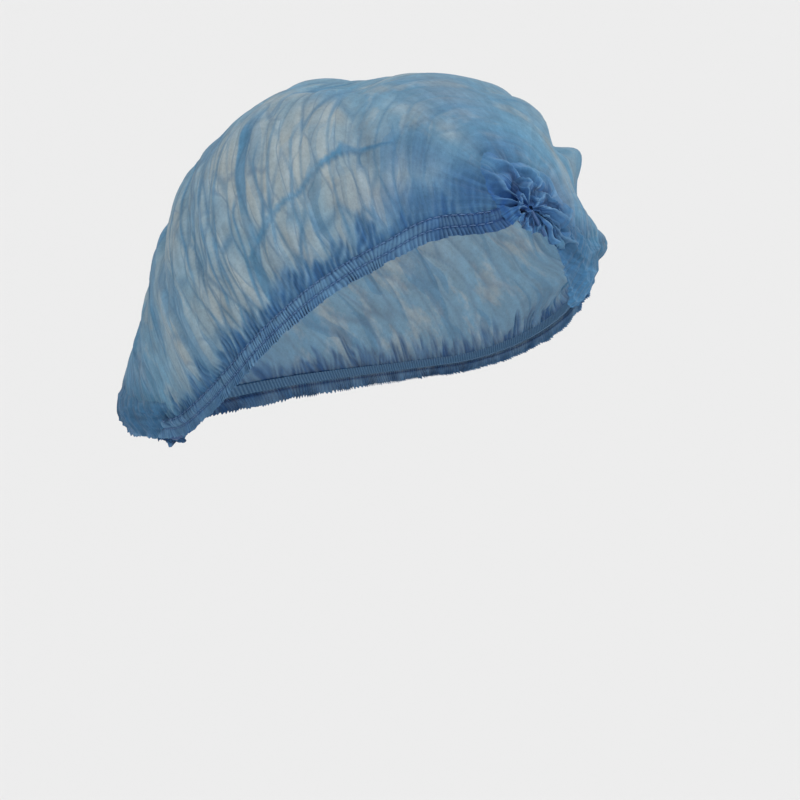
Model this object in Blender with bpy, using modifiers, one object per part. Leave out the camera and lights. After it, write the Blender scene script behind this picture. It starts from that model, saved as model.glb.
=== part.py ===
"""Disposable hair cover cap in its worn form.

One pleated nonwoven sheet is pulled together at the forehead and at the nape.
The wearer faces -Y and the wearer's left is +X. The origin is where the head
touches the inside of the crown, so the cap hangs below it as it does on a head.

The sheet is drawn in two angles about the middle of the cap. "along" runs from
the front knot (0) to the back knot (180). "around" runs over the head from the
wearer's right side (0) across the top (90) to the left side (180).
"""
import math

import bmesh
import bpy
import numpy as np
from mathutils import Vector

MM = 0.001

# The head that the cap fits: an egg of three half-sizes, centred below the seat
HEAD_CENTRE = np.array([0.0, 0.0, -97.0])
HEAD_HALF_SIZES = np.array([76.0, 93.0, 90.0])

# The line between the two knots slopes down to the nape
CAP_CENTRE = np.array([0.0, 21.0, -107.0])
KNOT_LINE_SLOPE = math.radians(36.0)
TOP_OF_CAP = 90.0

CLOTH_WALL = 1.2
ELASTIC_WALL = 1.0
ELASTIC_WIDTH = 3.0
HEM_WIDTH = 7.6
HEM_CHANNEL_WIDTH = 4.2
CLEARANCE = 0.5
LAYER_CLEARANCE = 0.35

CROWN_STATIONS = 60
CROWN_STEPS_AROUND = 29
HEM_STATIONS = 64
ELASTIC_STATIONS = 58
FIRST_STATION = 3.2
LAST_STATION = 176.8
ELASTIC_SETBACK = 1.5

# A row for each section from front to back. The drops say how many degrees the
# lower edge of each hem runs below the line of the knots. The rest say how many
# millimetres the cloth stands off the head, from the right hem over to the left.
SECTION_COLUMNS = ("along", "drop_right", "drop_left", "hem_right", "ear_right",
                   "side_right", "top", "side_left", "ear_left", "hem_left")
SECTIONS = (
    (5, 22, 60, 12, 12, 12, 12, 12, 12, 12),
    (14, 2, 43, 6, 9, 11, 12, 14, 14, 9),
    (27, 2, 27, 2, 7, 10, 12, 17.5, 16, 8),
    (38, 4, 22, 2, 7, 10, 11, 19, 17, 8),
    (56, 9, 22, 2, 6, 10, 8, 16, 16, 8),
    (74, 14, 22, 2, 5, 6, 6, 12, 14, 6),
    (92, 17, 21, 3, 5, 3, 4, 8, 9, 4),
    (110, 18, 18, 5, 6, 2, 2, 6, 6, 5),
    (128, 14, 14, 12, 10, 2, 3, 7, 11, 12),
    (146, 8, 9, 23, 22, 14, 11, 15, 22, 24),
    (162, 3, 4, 36, 37, 34, 30, 34, 37, 36),
    (175, 0, 0, 44, 44, 44, 44, 44, 44, 44),
)
AROUND_OF_COLUMNS = (15.0, 45.0, 90.0, 135.0, 168.0)

# Widths in millimetres on the cloth: a degree along at its usual distance from
# the middle of the cap, and the smallest ring that widths are worked out on
MM_PER_DEGREE_ALONG = math.radians(1.0) * 105.0
SMALLEST_RING = 8.0

# The cloth is held flat at the hem and is free to fold this far above it
FREE_RISE = 6.0

# Puffs and hollows of the loose cloth: where the middle is, how far it stands
# out or in, and how far it spreads in each direction
PUFF_COLUMNS = ("name", "along", "around", "height", "spread_along", "spread_around")
PUFFS = (
    ("front dome", 40, 137, 5, 16, 18),
    ("back dome", 69, 96, 4, 6, 13),
    ("saddle between the domes", 53, 91, -8, 10, 12),
    ("notch before the upper wing", 31, 150, -7, 6, 5),
    ("upper wing", 30, 157, 6.5, 4, 9),
    ("hollow between the wings", 28, 172, -4.5, 6, 7),
    ("middle wing", 42, 189, 10, 10, 8),
    ("lower wing", 63, 186, 9, 11, 5),
    ("hollow under the middle wing", 53, 193, -8, 8, 5),
)

# Long creases: both ends, then how deep the crease is in millimetres (a ridge is
# negative)
CREASE_HALF_WIDTH = 5.0
CREASE_REACH = 3.0 * CREASE_HALF_WIDTH
CREASE_COLUMNS = ("name", "along_a", "around_a", "along_b", "around_b", "depth")
CREASES = (
    ("saddle line", 43, 82, 31, 47, 3.0),
    ("long slanting crease", 31, 47, 41, 33, 3.0),
    ("crease end", 41, 33, 50, 22, 2.6),
    ("deep pleat", 60, 52, 53, 10, 3.0),
    ("pleat behind the ear", 87, 62, 71, 22, 2.4),
    ("pleat at the back", 104, 60, 88, 22, 2.4),
    ("nape pleat", 128, 70, 118, 15, 2.4),
    ("ridge over the ear", 74, 52, 63, 14, -1.8),
    ("left front pleat", 34, 118, 46, 160, 2.6),
    ("left middle pleat", 66, 112, 72, 168, 2.8),
    ("left back pleat", 98, 116, 92, 165, 2.6),
    ("left nape pleat", 124, 112, 120, 166, 2.4),
    ("top back pleat", 112, 78, 100, 112, 2.0),
)

# Gathers that the elastic draws into the cloth above each hem
GATHERS_PER_SIDE = 16
GATHER_HEIGHT = 2.4
GATHER_RISE = 13.0

# Folds that fan out of each knot: how far along they reach, and how soon they
# start, in degrees
KNOT_FOLDS = 6
KNOT_FOLD_HEIGHT = 2.2
KNOT_FOLD_REACH = 13.0
KNOT_FOLD_START = 8.0

# Ruffled margin below the stitched channel of the hem
FRILL_PLEATS_PER_SIDE = 16
FRILL_DEPTH = 0.9

# The fan of folded cloth at each knot: a row for each angle around the knot, with
# how far the fan reaches there in millimetres
FAN_COLUMNS = ("around", "reach")
FRONT_FAN = ((-25, 9), (25, 14), (60, 20), (90, 22), (125, 20), (165, 22), (205, 22), (225, 15))
BACK_FAN = ((-30, 10), (30, 12), (90, 11), (150, 12), (210, 10))
FAN_INNER_REACH = 3.4
FAN_INNER_LIFT = 2.8
FAN_FOLD_DEPTH = 2.4
MM_PER_DEGREE_AT_KNOT = math.radians(1.0) * 118.0

# A row for each fan: its outline, its folds, how far its rim stands off, and the
# steps of its mesh
FAN_SHAPE_COLUMNS = ("end", "outline", "folds", "rim_lift", "steps_around", "steps_out")
FANS = (
    ("front", FRONT_FAN, 9, 7.0, 41, 5),
    ("back", BACK_FAN, 7, 7.0, 29, 4),
)

WELD_RADIUS = 6.2
WELD_HALF_THICKNESS = 2.2

# The loose tail: how far each point is below the front knot, in front of it and
# to the wearer's left, in millimetres
TAIL_RADIUS = 0.8
TAIL_COLUMNS = ("down", "out", "to_left")
TAIL_ROUTE = ((1.5, 3.3, 0.0), (4.0, 3.4, 0.3), (6.5, 3.3, 0.9), (9.0, 2.8, 1.8), (11.5, 2.6, 2.6))


def named_rows(columns, table):
    """Each row of a table as a dictionary with the names of the columns."""
    return [dict(zip(columns, row)) for row in table]


def smooth_rows(row_places, rows, place):
    """Value on a smooth curve through the rows of a table."""
    row_places = np.asarray(row_places, float)
    rows = np.asarray(rows, float)
    place = min(max(place, row_places[0]), row_places[-1])
    slopes = np.gradient(rows, row_places, axis=0)
    i = int(np.clip(np.searchsorted(row_places, place) - 1, 0, len(row_places) - 2))
    span = row_places[i + 1] - row_places[i]
    t = (place - row_places[i]) / span
    return ((2 * t**3 - 3 * t**2 + 1) * rows[i] + (t**3 - 2 * t**2 + t) * span * slopes[i]
            + (3 * t**2 - 2 * t**3) * rows[i + 1] + (t**3 - t**2) * span * slopes[i + 1])


def section(along):
    """The row of the sections table at any place along the cap, by column name."""
    places = [row[0] for row in SECTIONS]
    return dict(zip(SECTION_COLUMNS, smooth_rows(places, SECTIONS, along)))


def direction(along, around):
    """Unit vector from the middle of the cap."""
    a = math.radians(along)
    b = math.radians(around)
    to_back = np.array([0.0, math.cos(KNOT_LINE_SLOPE), -math.sin(KNOT_LINE_SLOPE)])
    over_top = np.array([0.0, math.sin(KNOT_LINE_SLOPE), math.cos(KNOT_LINE_SLOPE)])
    to_left = np.array([1.0, 0.0, 0.0])
    across = -math.cos(b) * to_left + math.sin(b) * over_top
    return -math.cos(a) * to_back + math.sin(a) * across


def head_distance(ray):
    """How far the head's surface lies from the middle of the cap along a ray."""
    start = (CAP_CENTRE - HEAD_CENTRE) / HEAD_HALF_SIZES
    step = ray / HEAD_HALF_SIZES
    a = step @ step
    b = 2.0 * (step @ start)
    c = start @ start - 1.0
    return (-b + math.sqrt(b * b - 4.0 * a * c)) / (2.0 * a)


def hem_limits(row):
    """The angles around at which the right and left hems end at the bottom."""
    return -row["drop_right"], 180.0 + row["drop_left"]


def ring_radius(along):
    """Radius of the ring of directions at this place along, in millimetres."""
    return head_distance(direction(along, TOP_OF_CAP)) * math.sin(math.radians(along))


def degrees_for(width, along, around):
    """Angle around that covers a width in millimetres."""
    distance = head_distance(direction(along, around)) * math.sin(math.radians(along))
    return math.degrees(width / max(distance, SMALLEST_RING))


def share_along(along):
    """0 at the front end of the sheet, 1 at its back end."""
    return (along - FIRST_STATION) / (LAST_STATION - FIRST_STATION)


def crease_distance(along, around, crease):
    """Distance in millimetres from a place on the cloth to a crease's line."""
    scale = np.array([MM_PER_DEGREE_ALONG, math.radians(1.0) * max(ring_radius(along), SMALLEST_RING)])
    place = np.array([along, around]) * scale
    start = np.array([crease["along_a"], crease["around_a"]]) * scale
    end = np.array([crease["along_b"], crease["around_b"]]) * scale
    run = end - start
    t = float(np.clip((place - start) @ run / (run @ run), 0.0, 1.0))
    return float(np.linalg.norm(place - start - t * run))


def relief(along, around, row):
    """How far the folds move the cloth in or out, in millimetres."""
    right, left = hem_limits(row)
    circle = max(ring_radius(along), SMALLEST_RING)
    above_hem = max(math.radians(min(around - right, left - around)) * circle - HEM_WIDTH, 0.0)
    free = 1.0 - math.exp(-(above_hem / FREE_RISE) ** 2)
    lift = 0.0
    for puff in named_rows(PUFF_COLUMNS, PUFFS):
        off_along = (along - puff["along"]) / puff["spread_along"]
        off_around = (around - puff["around"]) / puff["spread_around"]
        lift += puff["height"] * math.exp(-off_along**2 - off_around**2) * free
    for crease in named_rows(CREASE_COLUMNS, CREASES):
        away = crease_distance(along, around, crease)
        if away < CREASE_REACH:
            lift -= crease["depth"] * math.exp(-(away / CREASE_HALF_WIDTH) ** 2) * free
    phase = 2.0 * math.pi * GATHERS_PER_SIDE * share_along(along)
    ends = math.sqrt(math.sin(math.radians(along)))
    rise = math.exp(-above_hem / GATHER_RISE)
    lift += GATHER_HEIGHT * (0.5 + 0.5 * math.cos(phase)) * rise * ends
    from_knot = min(along, 180.0 - along)
    fan = math.exp(-(from_knot / KNOT_FOLD_REACH) ** 2) * min(from_knot / KNOT_FOLD_START, 1.0)
    ripple = 0.5 + 0.5 * math.cos(2.0 * KNOT_FOLDS * math.radians(around))
    lift += KNOT_FOLD_HEIGHT * ripple * fan
    return lift


def cloth_point(along, around, row, lift=0.0):
    """A point of the sheet, lifted off it by a distance in millimetres."""
    right, left = hem_limits(row)
    places = (right,) + AROUND_OF_COLUMNS + (left,)
    stand_offs = (row["hem_right"], row["ear_right"], row["side_right"], row["top"],
                  row["side_left"], row["ear_left"], row["hem_left"])
    ray = direction(along, around)
    reach = head_distance(ray) + float(smooth_rows(places, stand_offs, around)) + lift
    return CAP_CENTRE + reach * ray


def sheet_object(name, rows, wall, material, collection):
    """A loft through rows of points, given its thickness by Solidify."""
    count = len(rows)
    width = len(rows[0])
    points = [tuple(point * MM) for row in rows for point in row]
    faces = []
    for i in range(count - 1):
        for j in range(width - 1):
            corner = i * width + j
            faces.append((corner, corner + width, corner + width + 1, corner + 1))
    mesh = bpy.data.meshes.new(name)
    mesh.from_pydata(points, [], faces)
    mesh.update()
    middle = Vector(CAP_CENTRE * MM)
    if sum(face.normal.dot(face.center - middle) for face in mesh.polygons) < 0.0:
        mesh.flip_normals()
    mesh.shade_smooth()
    mesh.materials.append(material)
    shell = bpy.data.objects.new(name, mesh)
    collection.objects.link(shell)
    solidify = shell.modifiers.new("Wall", "SOLIDIFY")
    solidify.thickness = wall * MM
    solidify.offset = 0.0
    solidify.use_even_offset = False
    return shell


def stations(count, first, last):
    return [first + (last - first) * i / (count - 1) for i in range(count)]


def build_crown(material, collection):
    rows = []
    for along in stations(CROWN_STATIONS, FIRST_STATION, LAST_STATION):
        row = section(along)
        right, left = hem_limits(row)
        hem_and_gap = HEM_WIDTH + CLEARANCE
        low = right + degrees_for(hem_and_gap, along, right)
        high = left - degrees_for(hem_and_gap, along, left)
        line = []
        for j in range(CROWN_STEPS_AROUND):
            around = low + (high - low) * j / (CROWN_STEPS_AROUND - 1)
            line.append(cloth_point(along, around, row, relief(along, around, row)))
        rows.append(line)
    return sheet_object("crown", rows, CLOTH_WALL, material, collection)


def hem_rows(side, widths, lifts, first, last, count):
    """Rows across a hem, each point a width up from its lower edge."""
    rows = []
    for along in stations(count, first, last):
        row = section(along)
        right, left = hem_limits(row)
        line = []
        for width, lift in zip(widths, lifts):
            if side == "right":
                around = right + degrees_for(width, along, right)
            else:
                around = left - degrees_for(width, along, left)
            line.append(cloth_point(along, around, row, lift(along, around, row)))
        rows.append(line)
    return rows


def build_hem(side, material, collection):
    def with_crown(along, around, row):
        return relief(along, around, row)

    def flat(along, around, row):
        return 0.0

    def frill(along, around, row):
        return FRILL_DEPTH * math.cos(2.0 * math.pi * FRILL_PLEATS_PER_SIDE * share_along(along))

    margin = HEM_WIDTH - HEM_CHANNEL_WIDTH
    rows = hem_rows(side, (HEM_WIDTH, margin, 0.0), (with_crown, flat, frill),
                    FIRST_STATION, LAST_STATION, HEM_STATIONS)
    return sheet_object("hem_" + side, rows, CLOTH_WALL, material, collection)


def build_elastic(side, material, collection):
    inward = -(CLOTH_WALL / 2.0 + LAYER_CLEARANCE + ELASTIC_WALL / 2.0)

    def inside(along, around, row):
        return inward

    middle = HEM_WIDTH - HEM_CHANNEL_WIDTH / 2.0
    widths = (middle + ELASTIC_WIDTH / 2.0, middle - ELASTIC_WIDTH / 2.0)
    rows = hem_rows(side, widths, (inside, inside), FIRST_STATION + ELASTIC_SETBACK,
                    LAST_STATION - ELASTIC_SETBACK, ELASTIC_STATIONS)
    return sheet_object("elastic_" + side, rows, ELASTIC_WALL, material, collection)


def knot_point(end, reach, around, lift):
    """A point near a knot, at a reach from it along the sheet."""
    along = reach / MM_PER_DEGREE_AT_KNOT
    if end == "back":
        along = 180.0 - along
    return cloth_point(along, around, section(along), lift)


def build_fan(fan, material, collection):
    """The bunched end of the strip, opened into a fan of folds."""
    outline = named_rows(FAN_COLUMNS, fan["outline"])
    places = [row["around"] for row in outline]
    reaches = [row["reach"] for row in outline]
    rows = []
    for around in stations(fan["steps_around"], places[0], places[-1]):
        reach = float(smooth_rows(places, reaches, around))
        turn = 2.0 * math.pi * fan["folds"] * (around - places[0]) / (places[-1] - places[0])
        line = []
        for out in stations(fan["steps_out"], 0.0, 1.0):
            lift = FAN_INNER_LIFT + (fan["rim_lift"] - FAN_INNER_LIFT) * out
            lift += FAN_FOLD_DEPTH * out * math.cos(turn)
            distance = FAN_INNER_REACH + (reach - FAN_INNER_REACH) * out
            line.append(knot_point(fan["end"], distance, around, lift))
        rows.append(line)
    return sheet_object(fan["end"] + "_rosette", rows, CLOTH_WALL, material, collection)


def knot_place(end):
    """Where a knot is, and its outward direction."""
    along = 0.0 if end == "front" else 180.0
    return cloth_point(along, TOP_OF_CAP, section(along)), direction(along, TOP_OF_CAP)


def build_weld(end, material, collection):
    centre, outward = knot_place(end)
    mesh = bpy.data.meshes.new(end + "_weld")
    knot = bmesh.new()
    bmesh.ops.create_uvsphere(knot, u_segments=14, v_segments=7, radius=WELD_RADIUS * MM)
    bmesh.ops.scale(knot, vec=(1.0, 1.0, WELD_HALF_THICKNESS / WELD_RADIUS), verts=knot.verts)
    knot.to_mesh(mesh)
    knot.free()
    mesh.shade_smooth()
    mesh.materials.append(material)
    weld = bpy.data.objects.new(end + "_weld", mesh)
    weld.rotation_mode = "QUATERNION"
    weld.rotation_quaternion = Vector(outward).to_track_quat("Z", "Y")
    weld.location = Vector(centre * MM)
    collection.objects.link(weld)
    return weld


def build_tail(material, collection):
    centre, outward = knot_place("front")
    upward = direction(90.0, TOP_OF_CAP)
    to_left = np.array([1.0, 0.0, 0.0])
    curve = bpy.data.curves.new("front_tail", "CURVE")
    curve.dimensions = "3D"
    curve.bevel_depth = TAIL_RADIUS * MM
    curve.bevel_resolution = 2
    curve.use_fill_caps = True
    spline = curve.splines.new("POLY")
    spline.points.add(len(TAIL_ROUTE) - 1)
    for point, step in zip(spline.points, named_rows(TAIL_COLUMNS, TAIL_ROUTE)):
        place = centre - step["down"] * upward + step["out"] * outward + step["to_left"] * to_left
        point.co = (*(place * MM), 1.0)
    curve.materials.append(material)
    tail = bpy.data.objects.new("front_tail", curve)
    collection.objects.link(tail)
    return tail


def plain_material(name, colour, roughness):
    material = bpy.data.materials.new(name)
    material.use_nodes = True
    shader = material.node_tree.nodes["Principled BSDF"]
    shader.inputs["Base Color"].default_value = (*colour, 1.0)
    shader.inputs["Roughness"].default_value = roughness
    return material


def clear_scene():
    for item in list(bpy.data.objects):
        bpy.data.objects.remove(item, do_unlink=True)


def main():
    clear_scene()
    cap = bpy.data.collections.new("hair_cover_cap")
    bpy.context.scene.collection.children.link(cap)
    cloth = plain_material("blue nonwoven", (0.17, 0.32, 0.45), 0.8)
    hem_cloth = plain_material("gathered blue nonwoven", (0.07, 0.16, 0.31), 0.8)
    rubber = plain_material("blue elastic", (0.12, 0.22, 0.38), 0.6)
    build_crown(cloth, cap)
    for side in ("right", "left"):
        build_hem(side, hem_cloth, cap)
        build_elastic(side, rubber, cap)
    for fan in named_rows(FAN_SHAPE_COLUMNS, FANS):
        build_fan(fan, hem_cloth, cap)
    for end in ("front", "back"):
        build_weld(end, hem_cloth, cap)
    build_tail(hem_cloth, cap)


main()
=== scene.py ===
# %% [markdown]
# # A disposable hair cover cap in its worn form
#
# The cap is one sheet of thin blue nonwoven. It leaves the machine as a narrow strip of pleats, fused at
# both ends, with an elastic stitched along each edge. Pulled open over a head it turns into a soft cap,
# with a bunch of folds over the forehead and another at the nape. The cells below load the built solids
# and then dress them with the thin cloth, its gathers, its stitches and its bunched ends.

# %% Load the built solids
import math
from functools import partial

import bpy
import numpy as np
from mathutils import Matrix, Vector


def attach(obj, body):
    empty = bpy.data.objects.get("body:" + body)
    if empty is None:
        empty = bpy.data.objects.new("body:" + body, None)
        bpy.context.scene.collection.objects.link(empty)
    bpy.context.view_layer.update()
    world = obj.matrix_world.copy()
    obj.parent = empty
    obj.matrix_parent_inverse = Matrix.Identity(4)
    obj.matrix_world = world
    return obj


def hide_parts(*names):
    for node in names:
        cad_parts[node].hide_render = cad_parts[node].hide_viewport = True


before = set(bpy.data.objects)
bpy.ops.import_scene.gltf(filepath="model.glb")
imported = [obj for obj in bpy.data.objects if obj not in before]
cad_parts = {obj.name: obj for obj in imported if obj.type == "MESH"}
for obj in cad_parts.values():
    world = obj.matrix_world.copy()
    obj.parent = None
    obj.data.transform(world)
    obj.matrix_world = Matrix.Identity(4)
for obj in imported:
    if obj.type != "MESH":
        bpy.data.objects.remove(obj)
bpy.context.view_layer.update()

MM = 0.001
print("nodes:", ", ".join(sorted(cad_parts)))

# %% [markdown]
# ## Camera
#
# The cap is seen from its right front side, a little from above, with a long lens that keeps the
# perspective mild. A camera could be aimed with a Track To constraint, but the view also leans a few
# degrees, so its three turns are made here one after the other. The lamps are aimed the same way.

# %% Camera
VIEW_AZIMUTH = -46.0
VIEW_ELEVATION = 18.0
VIEW_ROLL = 4.0
VIEW_DISTANCE = 1.2
VIEW_TARGET = (0.01627, -0.00734, -0.13084)
SENSOR_WIDTH = 36.0
METRES_ACROSS_THE_PICTURE = 0.3256


def aim(azimuth, elevation, roll=0.0, distance=1.0, target=(0.0, 0.0, 0.0)):
    """The matrix of a camera or lamp that stands off a target and looks at it. Angles are in degrees."""
    matrix = Matrix.Translation(target)
    for angle, axis in ((azimuth, "Z"), (90.0 - elevation, "X"), (roll, "Z")):
        matrix = matrix @ Matrix.Rotation(math.radians(angle), 4, axis)
    return matrix @ Matrix.Translation((0.0, 0.0, distance))


def put_in_scene(name, data):
    """An object in the scene that shows a mesh, a lamp or a camera."""
    thing = bpy.data.objects.new(name, data)
    bpy.context.scene.collection.objects.link(thing)
    return thing


lens = bpy.data.cameras.new("camera")
lens.sensor_width = SENSOR_WIDTH
lens.lens = SENSOR_WIDTH * VIEW_DISTANCE / METRES_ACROSS_THE_PICTURE
camera = put_in_scene("camera", lens)
camera.matrix_world = aim(VIEW_AZIMUTH, VIEW_ELEVATION, VIEW_ROLL, VIEW_DISTANCE, VIEW_TARGET)
bpy.context.scene.camera = camera
print("lens, mm:", round(lens.lens, 1))

# %% [markdown]
# ## Shading helpers
#
# Colours are easiest to choose as the hex values that a picture editor shows. Blender's shaders add up
# light, so they want linear numbers, and one function turns the one into the other. A second small
# function adds a node with its settings and links, so that each material below reads as a list. The plain
# finishes all end alike, in one surface that runs between two tones.

# %% Colour and node helpers
def linear(hex_colour):
    """Linear red, green, blue and alpha for an sRGB hex value such as 7199b2."""
    shares = [int(hex_colour[i:i + 2], 16) / 255.0 for i in (0, 2, 4)]
    return tuple(s / 12.92 if s <= 0.04045 else ((s + 0.055) / 1.055) ** 2.4 for s in shares) + (1.0,)


def add_node(tree, kind, inputs=(), result=0, **settings):
    """Adds a node with its settings, fills its inputs by name or in order, and gives one of its results."""
    node = tree.nodes.new("ShaderNode" + kind)
    for name, value in settings.items():
        setattr(node, name, value)
    for socket, value in inputs.items() if isinstance(inputs, dict) else enumerate(inputs):
        if isinstance(value, bpy.types.NodeSocket):
            tree.links.new(value, node.inputs[socket])
        else:
            node.inputs[socket].default_value = value
    return node.outputs[result] if node.outputs else node


def new_material(name):
    """An empty node material, and the helper above bound to it."""
    material = bpy.data.materials.new(name)
    material.use_nodes = True
    material.node_tree.nodes.clear()
    return material, partial(add_node, material.node_tree)


def two_tone(add, share, dark, light, settings):
    """Ends a material with a surface whose colour runs from one hex value to another by a share."""
    tone = add("Mix", {"Factor": share, "A": linear(dark), "B": linear(light)}, "Result", data_type="RGBA")
    add("OutputMaterial", {"Surface": add("BsdfPrincipled", {"Base Color": tone} | settings)})


def named_rows(columns, table):
    """Each row of a table as a dictionary with the names of the columns."""
    return [dict(zip(columns, row)) for row in table]


# %% [markdown]
# ## Floor and light
#
# The cap is held up as a head holds it, so nothing lies under it. A wide pale floor far below fills the
# picture, and its own shadow falls outside the view. Area lamps near the cap would leave a bright pool on
# such a floor, so the soft lamps of a product table are drawn as suns with a wide disc: their light is
# even everywhere, and the wide disc keeps the shadows soft. A sky that darkens overhead fills in the rest.

# %% Floor, lamps and sky
FLOOR_DEPTH = 0.9
FLOOR_HALF_SIZE = 12.0
FLOOR_CORNERS = ((-1, -1), (1, -1), (1, 1), (-1, 1))

floor_mesh = bpy.data.meshes.new("floor")
floor_mesh.from_pydata([(x * FLOOR_HALF_SIZE, y * FLOOR_HALF_SIZE, 0.0) for x, y in FLOOR_CORNERS], [],
                       [(0, 1, 2, 3)])
floor = put_in_scene("floor", floor_mesh)
floor.location = (0.0, 0.0, -FLOOR_DEPTH)

floor_material, add = new_material("matt paper floor")
cloud = add("TexNoise", {"Scale": 1.5, "Detail": 2.0})
two_tone(add, cloud, "dfdfdf", "e1e1e1", {"Roughness": 0.9, "Specular IOR Level": 0.1})
floor_mesh.materials.append(floor_material)

# Azimuth and elevation say where each lamp stands, in degrees, and disc is its apparent width
LAMP_COLUMNS = ("name", "azimuth", "elevation", "disc", "strength")
LAMPS = (
    ("front lamp", -5.0, 52.0, 45.0, 1.75),
    ("side lamp", -105.0, 35.0, 55.0, 0.55),
    ("back lamp", 95.0, 40.0, 50.0, 0.7),
)

for lamp in named_rows(LAMP_COLUMNS, LAMPS):
    glow = bpy.data.lights.new(lamp["name"], "SUN")
    glow.angle = math.radians(lamp["disc"])
    glow.energy = lamp["strength"]
    put_in_scene(lamp["name"], glow).matrix_world = aim(lamp["azimuth"], lamp["elevation"])

# The sky is as bright as the floor where they meet, so that no edge shows between them
SKY_AT_FLOOR = 0.83
SKY_OVERHEAD = 0.42
SKY_BAND = 0.5

sky = bpy.data.worlds.new("grey studio sky")
sky.use_nodes = True
background = sky.node_tree.nodes["Background"]
background.inputs["Color"].default_value = linear("ffffff")
add = partial(add_node, sky.node_tree)
rise = add("SeparateXYZ", (add("TexCoord", result="Generated"),), "Z")
sky.node_tree.links.new(add("MapRange", (rise, 0.0, SKY_BAND, SKY_AT_FLOOR, SKY_OVERHEAD)),
                        background.inputs["Strength"])
bpy.context.scene.world = sky
bpy.context.scene.view_settings.view_transform = "Standard"
print("lamps:", len(LAMPS))

# %% [markdown]
# ## The cap's own map
#
# Every piece of cloth is drawn on one map of two angles about the middle of the cap. "along" runs from the
# front knot (0) to the back knot (180), and "around" runs over the head from the wearer's right side (0)
# across the top (90) to the left side (180). A short table says how far the cloth stands off the head at a
# few sections, and a smooth curve joins them. The solids were made from the same table, so the thin cloth
# lies where they are.

# %% Sections of the cap
HEAD_CENTRE = np.array([0.0, 0.0, -97.0])
HEAD_HALF_SIZES = np.array([76.0, 93.0, 90.0])
CAP_CENTRE = np.array([0.0, 21.0, -107.0])
KNOT_LINE_SLOPE = math.radians(36.0)
TO_BACK = np.array([0.0, math.cos(KNOT_LINE_SLOPE), -math.sin(KNOT_LINE_SLOPE)])
OVER_TOP = np.array([0.0, math.sin(KNOT_LINE_SLOPE), math.cos(KNOT_LINE_SLOPE)])
TO_LEFT = np.array([1.0, 0.0, 0.0])
TOP_OF_CAP = 90.0
HEM_WIDTH = 7.6
HEM_CHANNEL_WIDTH = 4.2
FIRST_STATION = 3.2
LAST_STATION = 176.8
# Millimetres of cloth for one degree, on the whole and close to a knot
MM_ALONG = math.radians(1.0) * 105.0
MM_AT_KNOT = math.radians(1.0) * 118.0
SMALLEST_RING = 8.0

# The drops say how many degrees the lower edge of each hem runs below the line of the knots. The rest say
# how many millimetres the cloth stands off the head, from the right hem over to the left.
SECTION_COLUMNS = ("along", "drop_right", "drop_left", "hem_right", "ear_right",
                   "side_right", "top", "side_left", "ear_left", "hem_left")
AROUND_OF_COLUMNS = (15.0, 45.0, 90.0, 135.0, 168.0)
SECTIONS = (
    (5, 22, 60, 12, 12, 12, 12, 12, 12, 12),
    (14, 2, 43, 6, 9, 11, 12, 14, 14, 9),
    (27, 2, 27, 2, 7, 10, 12, 17.5, 16, 8),
    (38, 4, 22, 2, 7, 10, 11, 19, 17, 8),
    (56, 9, 22, 2, 6, 10, 8, 16, 16, 8),
    (74, 14, 22, 2, 5, 6, 6, 12, 14, 6),
    (92, 17, 21, 3, 5, 3, 4, 8, 9, 4),
    (110, 18, 18, 5, 6, 2, 2, 6, 6, 5),
    (128, 14, 14, 12, 10, 2, 3, 7, 11, 12),
    (146, 8, 9, 23, 22, 14, 11, 15, 22, 24),
    (162, 3, 4, 36, 37, 34, 30, 34, 37, 36),
    (175, 0, 0, 44, 44, 44, 44, 44, 44, 44),
)


def through(places, values, at):
    """Values at some places on a smooth curve through the rows of a table."""
    places = np.asarray(places, float)
    values = np.asarray(values, float)
    slopes = np.gradient(values, places, axis=0)
    at = np.clip(at, places[0], places[-1])
    i = np.clip(np.searchsorted(places, at) - 1, 0, len(places) - 2)
    span = places[i + 1] - places[i]
    t = (at - places[i]) / span
    return ((2 * t**3 - 3 * t**2 + 1) * values[i] + (t**3 - 2 * t**2 + t) * span * slopes[i]
            + (3 * t**2 - 2 * t**3) * values[i + 1] + (t**3 - t**2) * span * slopes[i + 1])


def section(along):
    """The row of the sections table at one place along the cap, by column name."""
    return dict(zip(SECTION_COLUMNS, through([row[0] for row in SECTIONS], SECTIONS, along)))


def direction(along, around):
    """Unit vectors from the middle of the cap."""
    a, b = np.broadcast_arrays(np.radians(along), np.radians(around))
    across = -np.cos(b)[..., None] * TO_LEFT + np.sin(b)[..., None] * OVER_TOP
    return -np.cos(a)[..., None] * TO_BACK + np.sin(a)[..., None] * across


def head_distance(ray):
    """How far the head's surface lies from the middle of the cap along each ray."""
    start = (CAP_CENTRE - HEAD_CENTRE) / HEAD_HALF_SIZES
    step = ray / HEAD_HALF_SIZES
    a = (step * step).sum(-1)
    b = 2.0 * (step @ start)
    c = start @ start - 1.0
    return (-b + np.sqrt(b * b - 4.0 * a * c)) / (2.0 * a)


def ring_radius(along, around=TOP_OF_CAP):
    """Radius in millimetres of the ring round the line of the knots."""
    ring = head_distance(direction(along, around)) * np.sin(np.radians(along))
    return np.maximum(ring, SMALLEST_RING)


def hem_angles(along):
    """Angles around of the lower edges of the right and left hems, for a column of places along."""
    rows = [section(a) for a in along[:, 0]]
    return (np.array([[-row["drop_right"]] for row in rows]),
            np.array([[180.0 + row["drop_left"]] for row in rows]))


def stand_off(along, around):
    """How far the plain cloth stands off the head, in millimetres."""
    out = np.empty(around.shape)
    for i, place_along in enumerate(along[:, 0]):
        row = section(place_along)
        places = (-row["drop_right"],) + AROUND_OF_COLUMNS + (180.0 + row["drop_left"],)
        out[i] = through(places, [row[name] for name in SECTION_COLUMNS[3:]], around[i])
    return out


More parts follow.
